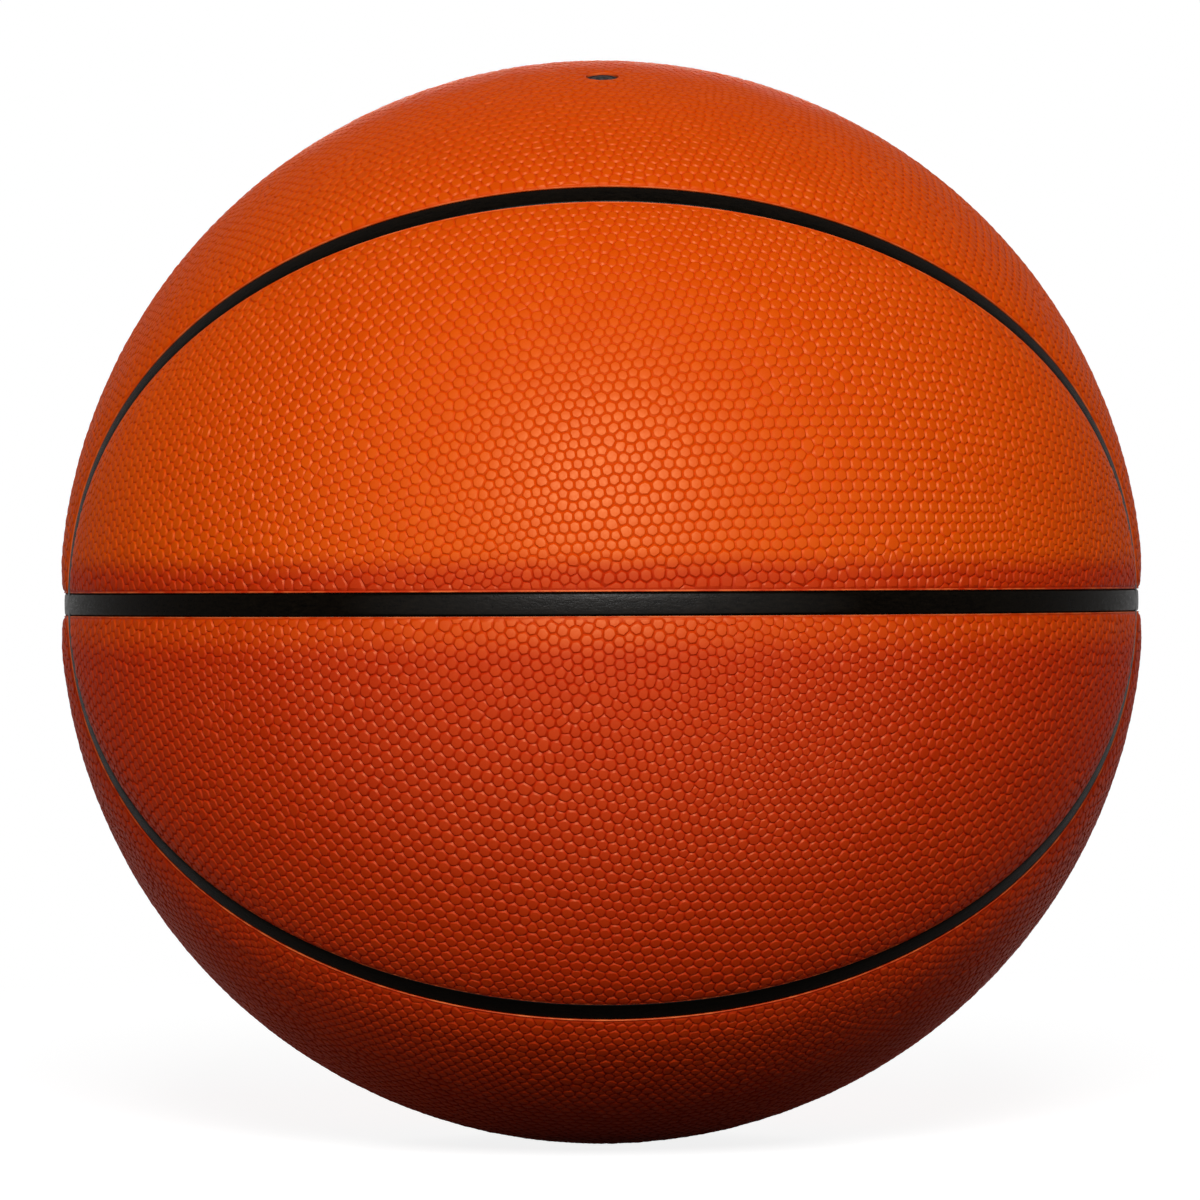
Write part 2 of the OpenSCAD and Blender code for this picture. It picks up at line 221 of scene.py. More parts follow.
class Seams:
    """Distances on the ball from directions, which point from its centre, to the seams of the front top quarter."""

    def __init__(self, s):
        self.r = s.ball_d / 2
        self.edge = s.edge_half
        self.cover_in = self.r - s.cover_t
        self.pad_out = self.cover_in - s.glue_line
        self.pad_in = self.pad_out - s.pad_t
        reach = (math.pi * self.r - s.oval_end_gap) / 2
        self.half_x = math.tan(reach / self.r / 2)
        self.half_z = math.tan(s.oval_rise / self.r / 2)
        lean = s.valve_offset / self.r
        self.valve_axis = np.array([0, -math.sin(lean), math.cos(lean)])
        self.valve_hole_r = s.valve_hole_d / 2
        self.shoulder_end = (s.edge_half + s.shoulder_w) / self.r
        self.rib_top = self.r - s.rib_depth
        self.carcass_out = self.pad_in - s.glue_line
        self.set_roll(s)

    def set_roll(self, s):
        """The arc that rolls a panel's outside over to its edge, in the plane across a seam."""
        curve_share = 0.6
        top = self.r * np.array([math.cos(self.shoulder_end), math.sin(self.shoulder_end)])
        foot = np.array([math.sqrt((self.r - s.shoulder_drop) ** 2 - self.edge**2), self.edge])
        chord = foot - top
        size = np.linalg.norm(chord)
        tangent = np.array([top[1], -top[0]]) / self.r
        turn = curve_share * math.acos(chord @ tangent / size)
        self.roll_r = size / 2 / math.sin(turn)
        inward = np.array([chord[1], -chord[0]]) / size
        self.roll_centre = (top + foot) / 2 + inward * self.roll_r * math.cos(turn)

    def oval_point(self, turn):
        """Point of the front oval seam, its tangent, its normal in the surface and its speed, at a turn round it."""
        c, s = np.cos(turn), np.sin(turn)
        u, v = self.half_x * c, self.half_z * s
        size = 1 + u * u + v * v
        point = np.stack([2 * u / size, 1 - 2 / size, 2 * v / size], -1)
        du, dv = -self.half_x * s, self.half_z * c
        grow = 2 * (u * du + v * dv)
        along = np.stack([2 * du * size - 2 * u * grow, 2 * grow, 2 * dv * size - 2 * v * grow], -1)
        along = along / (size * size)[..., None]
        speed = np.linalg.norm(along, axis=-1)
        tangent = along / speed[..., None]
        return point, tangent, np.cross(point, tangent), speed

    def oval(self, p):
        """Distance outwards from the front oval seam."""
        rounds, longest = 8, 0.3
        turn = np.arctan2(p[:, 2] / (1 - p[:, 1]) / self.half_z, p[:, 0] / (1 - p[:, 1]) / self.half_x)
        for _ in range(rounds):
            _, tangent, _, speed = self.oval_point(turn)
            turn = turn + np.clip((p * tangent).sum(1) / speed, -longest, longest)
        point, _, out, _ = self.oval_point(turn)
        side = np.sign((out * (point * np.array([1.0, 0, 1]))).sum(1))
        return self.r * np.arcsin(np.clip((p * out).sum(1) * side, -1, 1))

    def level(self, p):
        return self.r * p[:, 2]

    def upright(self, p):
        return -self.r * p[:, 1]

    def valve(self, p):
        return self.r * np.arccos(np.clip(p @ self.valve_axis, -1, 1))

    def edges(self, lobe, with_valve):
        """Functions that give the distance inwards from each edge of a panel."""
        if lobe:
            return [lambda p: self.level(p) - self.edge, lambda p: -self.oval(p) - self.edge]
        found = [lambda p: self.level(p) - self.edge, lambda p: self.upright(p) - self.edge,
                 lambda p: self.oval(p) - self.edge]
        if with_valve:
            found.append(lambda p: self.valve(p) - self.valve_hole_r)
        return found

    def surface(self, p, lobe):
        """Radius of the cover's outside, with its rolled shoulders."""
        seams = [self.level(p), np.abs(self.oval(p))] + ([] if lobe else [self.upright(p)])
        radius = np.full(len(p), self.r)
        for away in seams:
            turn = np.clip(away / self.r, 0, self.shoulder_end)
            toward = np.stack([np.cos(turn), np.sin(turn)], -1) @ self.roll_centre
            rolled = toward + np.sqrt(toward**2 - self.roll_centre @ self.roll_centre + self.roll_r**2)
            radius = np.minimum(radius, np.where(away / self.r < self.shoulder_end, rolled, self.r))
        return radius

    def valve_place(self):
        """Turn that stands a shape on the valve's axis."""
        return Vector((0, 0, 1)).rotation_difference(Vector(self.valve_axis)).to_matrix().to_4x4()


def new_mesh(name, verts, edges, faces):
    mesh = bpy.data.meshes.new(name)
    mesh.from_pydata(verts, edges, faces)
    return mesh


def added(name, data):
    """Object of a mesh, a lamp or a camera, in the scene."""
    made = bpy.data.objects.new(name, data)
    bpy.context.scene.collection.objects.link(made)
    return made


# Sheets of cells, cut along the seams


def even_points(pitch):
    """Directions spread evenly over a ball of radius 1, with about a pitch from each to the next."""
    count = 4 * math.pi / (pitch * pitch * math.sqrt(3) / 2)
    steps = max(2, round(math.sqrt((count - 2) / 10)))
    g = (1 + math.sqrt(5)) / 2
    corners = unit(np.array([(-1, g, 0), (1, g, 0), (-1, -g, 0), (1, -g, 0), (0, -1, g), (0, 1, g), (0, -1, -g),
                             (0, 1, -g), (g, 0, -1), (g, 0, 1), (-g, 0, -1), (-g, 0, 1)], float))
    sides = [(0, 11, 5), (0, 5, 1), (0, 1, 7), (0, 7, 10), (0, 10, 11), (1, 5, 9), (5, 11, 4), (11, 10, 2),
             (10, 7, 6), (7, 1, 8), (3, 9, 4), (3, 4, 2), (3, 2, 6), (3, 6, 8), (3, 8, 9), (4, 9, 5), (2, 4, 11),
             (6, 2, 10), (8, 6, 7), (9, 8, 1)]
    i, j = np.meshgrid(np.arange(steps + 1), np.arange(steps + 1), indexing="ij")
    keep = i + j <= steps
    i, j = i[keep], j[keep]
    k = steps - i - j
    points = unit(np.concatenate([np.outer(i, corners[a]) + np.outer(j, corners[b]) + np.outer(k, corners[c])
                                  for a, b, c in sides]))
    _, first = np.unique(np.round(points, 6), axis=0, return_index=True)
    return points[np.sort(first)]


def random_turn(rng):
    q = unit(rng.normal(size=4))
    w, x, y, z = q
    return np.array([[1 - 2 * (y * y + z * z), 2 * (x * y - z * w), 2 * (x * z + y * w)],
                     [2 * (x * y + z * w), 1 - 2 * (x * x + z * z), 2 * (y * z - x * w)],
                     [2 * (x * z - y * w), 2 * (y * z + x * w), 1 - 2 * (x * x + y * y)]])


def triangles_of(p):
    """Triangles between directions, and the view from the far side of the ball that they are found in."""
    middle = unit(p.mean(0))
    side = unit(np.cross(middle, [0.3, 0.5, 0.81]))
    up = np.cross(middle, side)
    scale = 1 / (1 + p @ middle)
    flat = np.stack([(p @ side) * scale, (p @ up) * scale], -1)
    found = delaunay_2d_cdt([Vector(q) for q in flat], [], [], 0, 1e-9, True)
    first = np.array([o[0] for o in found[3]])
    return first[np.array(found[2])], flat


def settle(p, steps):
    """Moves each point towards the middle of its cell, so that the cells become alike in size."""
    for _ in range(steps):
        tri, _ = triangles_of(p)
        a, b, c = (p[tri[:, k]] for k in range(3))
        middle = (a + b + c) / 3
        area = np.linalg.norm(np.cross(b - a, c - a), axis=1)
        # Long triangles at the sheet's border don't count
        fair = area < 4 * np.median(area)
        total, weight = np.zeros_like(p), np.zeros(len(p))
        for k in range(3):
            np.add.at(total, tri[fair, k], middle[fair] * area[fair, None])
            np.add.at(weight, tri[fair, k], area[fair])
        p = unit(np.where(weight[:, None] > 0, total / np.maximum(weight, 1e-30)[:, None], p))
    return p


def cells_of(p, wanted):
    """Corners of the cells round the wanted points. Every second corner is the middle of a side.
    Gives the corners and, for each wanted point, the list of its cell's corners, which turn left from outside."""
    tri, flat = triangles_of(p)
    a, b, c = (p[tri[:, k]] for k in range(3))
    round_centre = unit(np.cross(b - a, c - a))
    round_centre *= np.sign((round_centre * a).sum(1))[:, None]
    corners = unit(unit(a + b + c) + round_centre)
    seat = tri.ravel()
    which = np.repeat(np.arange(len(tri)), 3)
    centre = flat[tri].mean(1)[which] - flat[seat]
    order = np.lexsort((np.arctan2(centre[:, 1], centre[:, 0]), seat))
    seat, which = seat[order], which[order]
    starts = np.searchsorted(seat, np.arange(len(p) + 1))
    middles, points, cells = {}, list(corners), []
    for w in np.nonzero(wanted)[0]:
        ring = which[starts[w]:starts[w + 1]].tolist()
        cell = []
        for k, t in enumerate(ring):
            n = ring[(k + 1) % len(ring)]
            key = (t, n) if t < n else (n, t)
            if key not in middles:
                middles[key] = len(points)
                points.append(unit(corners[t] + corners[n]))
            cell += [t, middles[key]]
        cells.append(cell)
    points = np.array(points)
    first = points[np.array(cells[0])]
    if np.cross(first, np.roll(first, -1, 0)).sum(0) @ first.mean(0) < 0:
        cells = [cell[::-1] for cell in cells]
    return points, cells


def slopes(p, away):
    """Gradient of a distance over the ball's surface."""
    step = 1e-6
    total = np.zeros_like(p)
    for axis in np.eye(3):
        total += np.outer((away(unit(p + step * axis)) - away(unit(p - step * axis))) / (2 * step), axis)
    return total


def moved_to(p, away, target):
    """Points moved straight across the edge, to a distance from it."""
    for _ in range(3):
        slope = slopes(p, away)
        size = (slope * slope).sum(1)
        p = unit(p - slope * ((away(p) - target) / size)[:, None])
    return p


def cut(points, cells, away, snap):
    """Cuts the cells along the line where the distance is zero and keeps the part where it is more."""
    value = away(points)
    near = np.abs(value) < snap
    if near.any():
        points = points.copy()
        points[near] = moved_to(points[near], away, 0)
        value = away(points)
        value[near] = 0
    crossings, kept = {}, []
    inside = value >= 0
    for cell in cells:
        if not (value[cell] > 0).any():
            continue
        if inside[cell].all():
            kept.append(cell)
            continue
        new = []
        for k, v in enumerate(cell):
            n = cell[(k + 1) % len(cell)]
            if inside[v]:
                new.append(v)
            if value[v] * value[n] < 0:
                new.append(crossings.setdefault((v, n) if v < n else (n, v), len(points) + len(crossings)))
        if len(new) > 2:
            kept.append(new)
    if crossings:
        first, second = np.array(list(crossings)).T
        part = value[first] / (value[first] - value[second])
        where = unit(points[first] + (points[second] - points[first]) * part[:, None])
        points = np.concatenate([points, moved_to(where, away, 0)])
    return points, kept


def panel_cells(seams, edges, pitch, rim, rng, scatter):
    """Points and cells of a panel out to its rim, cut from a sheet. A scatter stirs and settles the sheet first."""
    sheet = even_points(pitch) @ random_turn(rng).T
    cell_w = pitch * seams.r
    margin = SHEET_MARGIN * cell_w

    def inside(p):
        return np.min([edge(p) for edge in edges], 0)

    def without_halves(p):
        """Leaves out the points just outside the rim, so that the cells beside them reach it whole."""
        reach = inside(p) - rim
        return p[(reach > BARE_BAND[1] * cell_w) | (reach < BARE_BAND[0] * cell_w)]

    sheet = sheet[inside(sheet) > -margin]
    if scatter is not None:
        sheet = without_halves(unit(sheet + rng.normal(size=sheet.shape) * pitch * scatter))
        sheet = without_halves(settle(sheet, 2))
    points, cells = cells_of(sheet, inside(sheet) > -0.5 * margin)
    for edge in edges:
        points, cells = cut(points, cells, lambda p, edge=edge: edge(p) - rim, SNAP * cell_w)
    used = np.unique(np.concatenate(cells))
    number = -np.ones(len(points), int)
    number[used] = np.arange(len(used))
    return points[used], [number[cell].tolist() for cell in cells]


def rises_of(points, cells, pebbles, rng):
    """Height of each cell's pebble: less on a small cell, and little on one that bends in so far that it would fold."""
    area, hollow = [], []
    for cell in cells:
        spokes = points[cell] - points[cell].mean(0)
        parts = np.cross(spokes, np.roll(spokes, -1, 0)) @ points[cell[0]]
        area.append(abs(parts.sum()) / 2)
        hollow.append(parts.min() * parts.sum() < 0)
    size = np.clip(np.sqrt(np.array(area) / np.median(area)) * SIZE_GAIN - SIZE_LOSS, 0, SIZE_MOST)
    size = np.where(hollow, SIZE_FOLDING, size)
    return pebbles.height * size * (1 + pebbles.height_spread * rng.uniform(-1, 1, len(cells)) * 0.5)


def open_loops(cells):
    """Loops of edges that only one cell has, each turning with that cell."""
    sides = set()
    for cell in cells:
        for k, v in enumerate(cell):
            sides.add((v, cell[(k + 1) % len(cell)]))
    after = {a: b for a, b in sides if (b, a) not in sides}
    loops = []
    while after:
        start = next(iter(after))
        loop, v = [], start
        while v in after:
            loop.append(v)
            v = after.pop(v)
        loops.append(loop)
    return sorted(loops, key=len, reverse=True)


def place_row(p, edges, target, rim):
    """Points of the cut edge moved to a distance from the panel's true edge, and at its corners from both."""
    on = [np.abs(edge(p) - rim) < ON_RIM for edge in edges]
    q = p.copy()
    for _ in range(4):
        values = [edge(q) - target for edge in edges]
        grads = [slopes(q, edge) for edge in edges]
        shift = np.zeros_like(q)
        for k in range(len(q)):
            active = [e for e in range(len(edges)) if on[e][k]]
            if active:
                g, v = np.array([grads[e][k] for e in active]), np.array([values[e][k] for e in active])
                shift[k] = -np.linalg.lstsq(g, v, rcond=None)[0]
        q = unit(q + shift)
    return q


class Shell:
    """Points and faces of a closed shell, gathered row by row. Each point has a mark that says if it is on the rim."""

    def __init__(self, cells):
        self.rows, self.rims, self.faces, self.count = [], [], [list(cell) for cell in cells], 0

    def add(self, points, radius, on_rim):
        """Adds directions at a radius and gives the new points' numbers."""
        self.rows.append(points * np.reshape(radius, (-1, 1)))
        self.rims.append(np.full(len(points), float(on_rim)))
        self.count += len(points)
        return list(range(self.count - len(points), self.count))

    def strip(self, first, second):
        """Joins two loops of points by a strip of faces."""
        for k in range(len(first)):
            n = (k + 1) % len(first)
            self.faces.append([first[n], first[k], second[k], second[n]])


def panel_shell(points, cells, outside, inner_r, depth, rows, place):
    """Closed shell over the cells: their outer face, the rows of the rim and an inner face."""
    shell = Shell(cells)
    shell.add(points, outside(points, depth), False)
    loops = open_loops(cells)
    # The inner face has the same cells without the middles of their sides
    on_edge = {v for loop in loops for v in loop}
    uses = np.bincount(np.concatenate(cells), minlength=len(points))
    stays = [v for v in range(len(points)) if uses[v] > 2 or v in on_edge]
    inner = dict(zip(stays, shell.add(points[stays], inner_r, False)))
    for loop in loops:
        last = loop
        for away, drop in rows:
            placed = place(points[loop], away)
            now = shell.add(placed, outside(placed, drop), True)
            shell.strip(last, now)
            last = now
        foot = shell.add(placed, inner_r, True)
        shell.strip(last, foot)
        shell.strip(foot, [inner[v] for v in loop])
    back = [[inner[v] for v in reversed(cell) if v in inner] for cell in cells]
    shell.faces += [face for face in back if len(face) > 2]
    return shell


def panel_mesh(k, seams, pebbles, cover):
    """Mesh of a panel or its foam. A panel's cells are marked, so that the pebbles rise from them."""
    name, lobe, front, top, painted_shade, seam_light_and_shade = PANELS[k]
    rng = np.random.default_rng(pebbles.seed + 17 * k)
    edges = seams.edges(lobe, name == VALVE_PANEL)
    if cover:
        pitch, rim, scatter, depth, inner_r, rows = (pebbles.pitch, pebbles.rim_w, pebbles.scatter, pebbles.height,
                                                     seams.cover_in, RIM_ROWS)
    else:
        pitch, rim, scatter, depth, inner_r, rows = FOAM_PITCH, FOAM_RIM, None, 0, seams.pad_in, [(0.0, 0.0)]
    points, cells = panel_cells(seams, edges, pitch / seams.r, rim, rng, scatter)
    rises = rises_of(points, cells, pebbles, rng)
    shell = panel_shell(points, cells, lambda p, drop: seams.surface(p, lobe) - drop if cover else seams.pad_out,
                        inner_r, depth, rows, lambda p, away: place_row(p, edges, away, rim))
    verts, faces = np.concatenate(shell.rows), shell.faces
    # Painted shade of the panel, with more painted shade on the top panels and painted light on the bottom ones beside
    # the level seam
    beside = np.clip((seams.level(unit(verts)) - FADE_START) / FADE_W, 0, 1)
    painted_shades = painted_shade + seam_light_and_shade * (1 - beside * beside * (3 - 2 * beside))
    if front * top < 0:
        faces = [face[::-1] for face in faces]
    mesh = new_mesh(("panel_" if cover else "foam_") + name, (verts * np.array([1, front, top])).tolist(), [], faces)
    rest = len(faces) - len(cells)
    for key, kind, domain, value in (("cell", "BOOLEAN", "FACE", [cover] * len(cells) + [False] * rest),
                                     ("rise", "FLOAT", "FACE", np.pad(rises, (0, rest))),
                                     ("rim", "FLOAT", "POINT", np.concatenate(shell.rims)),
                                     ("painted_shade", "FLOAT", "POINT", painted_shades)):
        mesh.attributes.new(key, kind, domain).data.foreach_set("value", value)
    mesh.shade_smooth()
    return mesh


# Node trees that raise the pebbles and sweep the ribs


class Tree:
    """Short way to add nodes to a node tree and join them."""

    def __init__(self, group):
        self.group = group
        self.prefix = group.bl_idname.removesuffix("Tree")

    def node(self, kind, inputs=None, **settings):
        """Adds a node with its settings, and sets or joins its inputs. Its kind may leave out the tree's prefix."""
        made = self.group.nodes.new(kind if "Node" in kind else self.prefix + kind)
        for key, value in settings.items():
            setattr(made, key, value)
        for key, value in (inputs or {}).items():
            self.set(made.inputs[key], value)
        return made

    def set(self, socket, value):
        if isinstance(value, bpy.types.NodeSocket):
            self.group.links.new(value, socket)
        elif isinstance(value, bpy.types.Node):
            self.group.links.new(value.outputs[0], socket)
        else:
            socket.default_value = (*value, 1) if socket.type == "RGBA" else value

    def math(self, kind, *values):
        return self.node("ShaderNodeMath", dict(enumerate(values)), operation=kind).outputs[0]

    def vector(self, kind, *values):
        inputs = {0: values[0], "Scale": values[1]} if kind == "SCALE" else dict(enumerate(values))
        made = self.node("ShaderNodeVectorMath", inputs, operation=kind)
        return made.outputs["Value" if kind == "LENGTH" else 0]

    def in_range(self, value, low, high, to_low=0.0, to_high=1.0):
        return self.node("ShaderNodeMapRange", {"Value": value, "From Min": low, "From Max": high,
                                                "To Min": to_low, "To Max": to_high}).outputs[0]

    def mixed(self, factor, first, second):
        """Colour between two colours, by a factor."""
        return self.node("ShaderNodeMix", {0: factor, 6: first, 7: second}, data_type="RGBA").outputs[2]

    def read(self, name, kind="FLOAT"):
        return self.node("GeometryNodeInputNamedAttribute", {"Name": name}, data_type=kind).outputs[0]

    def stored(self, geometry, name, kind, value, domain="FACE", **more):
        """Keeps a value on a geometry, under a name."""
        return self.node("GeometryNodeStoreNamedAttribute",
                         {"Name": name, "Geometry": geometry, "Value": value, **more},
                         data_type=kind, domain=domain).outputs[0]

    def end(self, geometry, material):
        """Ends a tree of geometry nodes with real geometry and its material."""
        real = self.node("GeometryNodeRealizeInstances", {"Geometry": geometry})
        done = self.node("GeometryNodeSetMaterial", {"Geometry": real, "Material": material})
        self.node("NodeGroupOutput", {"Geometry": done})


def new_group(name, kind, inputs, outputs):
    """Tree of a new node group, and its inputs. Sockets are given by name, with a number's default or another kind."""
    group = bpy.data.node_groups.new(name, kind)
    for way, sockets in (("INPUT", inputs), ("OUTPUT", outputs)):
        for label, value in sockets.items():
            other = isinstance(value, str)
            socket = group.interface.new_socket(label, in_out=way,
                                                socket_type="NodeSocket" + (value if other else "Float"))
            if not other:
                socket.default_value = value
    t = Tree(group)
    return t, t.node("NodeGroupInput").outputs


def pebble_tree():
    """Each cell grows a table that is rounder than the cell, and a crown that ends in one point over its middle."""
    t, start = new_group("Pebbles", "GeometryNodeTree",
                         {"Geometry": "Geometry", "Table Share": 0.74, "Table Height": 0.8, "Roundness": 0.5,
                          "Merge Distance": 1e-6, "Seed": "Int", "Material": "Material"}, {"Geometry": "Geometry"})
    cell = t.read("cell", "BOOLEAN")
    position = t.node("InputPosition").outputs[0]

    # What each cell passes on to its pebble: its middle, a tone and the mean distance to its corners
    shape = t.stored(start["Geometry"], "middle", "FLOAT_VECTOR", position)
    index = t.node("InputIndex").outputs[0]
    tone = t.node("FunctionNodeRandomValue", {"ID": index, "Seed": start["Seed"]}, data_type="FLOAT").outputs[1]
    shape = t.stored(shape, "tone", "FLOAT", tone)
    area = t.node("InputMeshFaceArea").outputs[0]
    shape = t.stored(shape, "radius", "FLOAT", t.math("SQRT", t.math("DIVIDE", area, math.pi)))
    # Edges between two cells are the valleys. Their shading and that of the tables' edges stay sharp
    shape = t.stored(shape, "valley", "FLOAT", t.read("cell"), "EDGE")

    def grown(geometry, selection, table_share, table_height, crest):
        """Extrudes the cells and moves their tops: towards the middle, into a circle and up."""
        out = t.node("ExtrudeMesh", {"Mesh": geometry, "Selection": selection, "Offset Scale": 0.0,
                                                 "Individual": True}, mode="FACES").outputs
        middle = t.read("middle", "FLOAT_VECTOR")
        spoke = t.vector("SUBTRACT", position, middle)
        reach = t.vector("LENGTH", spoke)
        even = t.math("MULTIPLY", start["Roundness"], t.math("SUBTRACT", t.read("radius"), reach))
        even = t.math("ADD", reach, t.math("MINIMUM", even, 0.0))
        out_by = t.math("MULTIPLY", even, table_share)
        lift = t.math("MULTIPLY", t.read("rise"), table_height)
        place = t.vector("ADD", middle, t.vector("SCALE", t.vector("NORMALIZE", spoke), out_by))
        place = t.vector("ADD", place, t.vector("SCALE", t.vector("NORMALIZE", middle), lift))
        moved = t.node("SetPosition", {"Geometry": out["Mesh"], "Selection": out["Top"],
                                                   "Position": place})
        return t.stored(moved, "crest", "FLOAT", crest, "POINT", Selection=out["Top"]), out["Top"]

    table, top = grown(shape, cell, start["Table Share"], start["Table Height"], TABLE_MARK)
    crown, _ = grown(table, top, 0.0, 1.0, CROWN_MARK)
    closed = t.node("MergeByDistance", {"Geometry": crown, "Distance": start["Merge Distance"]})
    smooth = t.node("SetShadeSmooth", {"Geometry": closed, "Shade Smooth": True})
    floor_edge = t.math("MULTIPLY", t.math("GREATER_THAN", t.read("valley"), 0.9),
                        t.math("LESS_THAN", t.read("crest"), 0.1))
    table_edge = t.math("COMPARE", t.read("crest"), TABLE_MARK, 0.05)
    creased = t.node("SetShadeSmooth", {"Geometry": smooth, "Shade Smooth": False,
                                                    "Selection": t.math("MAXIMUM", floor_edge, table_edge)},
                     domain="EDGE")
    for name in ("middle", "radius", "cell", "rise", "valley"):
        creased = t.node("RemoveAttribute", {"Geometry": creased, "Name": name})
    t.end(creased, start["Material"])
    return t.group


def rib_tree():
    """Sweeps a rib with rounded corners and a low crown along each loop of edges, upright on the ball."""
    t, start = new_group("Ribs", "GeometryNodeTree",
                         {"Geometry": "Geometry", "Width": 0.0, "Height": 0.0, "Corner": 0.0, "Crown": 0.0,
                          "Material": "Material"}, {"Geometry": "Geometry"})
    position = t.node("InputPosition").outputs[0]
    loops = t.node("MeshToCurve", {"Mesh": start["Geometry"]})
    upright = t.node("SetCurveNormal", {"Curve": loops, "Normal": t.vector("NORMALIZE", position)},
                     mode="FREE")
    upright = t.stored(upright, "course", "FLOAT_VECTOR", position, "POINT")
    block = t.node("CurvePrimitiveQuadrilateral", {"Width": start["Height"], "Height": start["Width"]})
    cut_up = t.node("SubdivideCurve", {"Curve": block, "Cuts": 2})
    eased = t.node("FilletCurve", {"Curve": cut_up, "Radius": start["Corner"], "Count": 4,
                                               "Limit Radius": True}, mode="POLY")
    across = t.node("ShaderNodeSeparateXYZ", {"Vector": position}).outputs["Y"]
    part = t.math("DIVIDE", across, start["Width"])
    fall = t.math("MULTIPLY", t.math("MULTIPLY", t.math("MULTIPLY", part, part), start["Crown"]), -4.0)
    crowned = t.node("SetPosition", {"Geometry": eased,
                                                 "Offset": t.node("ShaderNodeCombineXYZ", {"X": fall})})
    crowned = t.stored(crowned, "across", "FLOAT", across, "POINT")
    swept = t.node("CurveToMesh", {"Curve": upright, "Profile Curve": crowned})
    merged = t.node("MergeByDistance", {"Geometry": swept, "Distance": DOUBLED})
    t.end(t.node("SetShadeSmooth", {"Geometry": merged, "Shade Smooth": True}), start["Material"])
    return t.group


def raised(piece, tree, values):
    """Runs a node tree on a piece and keeps the result as a plain mesh."""
    modifier = piece.modifiers.new(tree.name, "NODES")
    modifier.node_group = tree
    for item in tree.interface.items_tree:
        if item.name in values:
            modifier[item.identifier] = values[item.name]
    bpy.context.view_layer.update()
    graph = bpy.context.evaluated_depsgraph_get()
    mesh = bpy.data.meshes.new_from_object(piece.evaluated_get(graph), depsgraph=graph)
    piece.modifiers.remove(modifier)
    old = piece.data
    piece.data = mesh
    bpy.data.meshes.remove(old)
    mesh.name = piece.name


# Finishes. A mark or a noise is spread over a range, and colours and roughness follow it


def grain_group():
    """Fine grain, soft blotches and wear, which the finishes share."""
    sorts = [("Grain", 1800.0, 3.0, 0.6), ("Blotch", 22.0, 2.0, 0.5), ("Wear", 260.0, 2.0, 0.6)]
    t, start = new_group("Grain and blotches", "ShaderNodeTree",
                         {name + " Scale": scale for name, scale, *_ in sorts}, {name: 0.0 for name, *_ in sorts})
    place = t.node("TexCoord").outputs["Object"]
    t.node("NodeGroupOutput", {
        name: t.node("TexNoise", {"Vector": place, "Scale": start[name + " Scale"], "Detail": detail,
                                            "Roughness": rough}) for name, _, detail, rough in sorts})
    return t.group


class Finish(Tree):
    """Material with its shader, the noises that all the finishes share, and ways to add to it."""

    def __init__(self, name, grain=0.0, blotch=0.0):
        self.material = bpy.data.materials.new(name)
        self.material.use_nodes = True
        super().__init__(self.material.node_tree)
        self.shader = self.group.nodes["Principled BSDF"]
        if grain:
            shared = bpy.data.node_groups.get("Grain and blotches") or grain_group()
            self.noise = self.node("Group", {"Grain Scale": grain, "Blotch Scale": blotch},
                                   node_tree=shared).outputs

    def mark(self, name, output="Fac"):
        return self.node("Attribute", attribute_name=name).outputs[output]

    def sheen(self, facing, grazing, end):
        """Reflection of a matt skin, which fades where the surface turns away from the eye."""
        turned = self.node("LayerWeight", {"Blend": 0.5}).outputs["Facing"]
        level = self.shader.inputs["Specular IOR Level"]
        level.default_value = (facing + grazing) / 2
        self.set(level, self.in_range(turned, 0.0, end, facing, grazing))

    def done(self, colour_, rough, height, strength, distance):
        """Gives the shader its colour, roughness and bumps."""
        bump = self.node("Bump", {"Height": height, "Strength": strength, "Distance": distance})
        for name, value in (("Base Color", colour_), ("Roughness", rough), ("Normal", bump)):
            self.set(self.shader.inputs[name], value)
        return self.material


def shaded(colour_, factor):
    return tuple(c * factor for c in colour_)


def cover_finish(colours):
    """Tanned cover with pebbles that are lighter on top, with painted shade in their valleys, a tone of their own each,
    painted shade that is deepest on the lower panels, and a pale pressed rim.
    """
    t = Finish("Pebbled cover", 1500.0, 19.0)
    crest, tone, rim, painted_shade = (t.mark(name) for name in ("crest", "tone", "rim", "painted_shade"))
    # Pale and shaded colours, mixed by the panel's painted shade
    top = t.mixed(painted_shade, colours.crest, colours.shaded_crest)
    low = t.mixed(painted_shade, colours.valley, colours.shaded_valley)
    top = t.mixed(t.in_range(tone, 0, 1, 0, 0.4), top, low)
    # The valleys take the darker colour: painted shade in them
    skin = t.mixed(t.in_range(crest, 0.05, 0.75), low, top)
    skin = t.mixed(t.in_range(t.noise["Blotch"], 0.38, 0.7, 0, 0.25), skin, low)
    skin = t.mixed(t.in_range(t.noise["Grain"], 0.35, 0.7, 0.0, 0.2), skin, low)
    pressed = t.math("MULTIPLY", t.in_range(rim, 0.2, 0.9), t.in_range(t.noise["Wear"], 0.4, 0.62, 0.1, 0.8))
    skin = t.mixed(pressed, skin, colours.rim)
    rough = t.math("ADD", t.in_range(crest, 0, 1, 0.5, 0.48), t.in_range(t.noise["Grain"], *MOST, -0.05, 0.05))
    t.sheen(0.42, 0.01, 0.25)
    t.set(t.shader.inputs["IOR"], 1.65)
    t.set(t.shader.inputs["Specular Tint"], (1, 0.62, 0.3))
    return t.done(skin, rough, t.noise["Grain"], 0.35, 0.06 * MM)


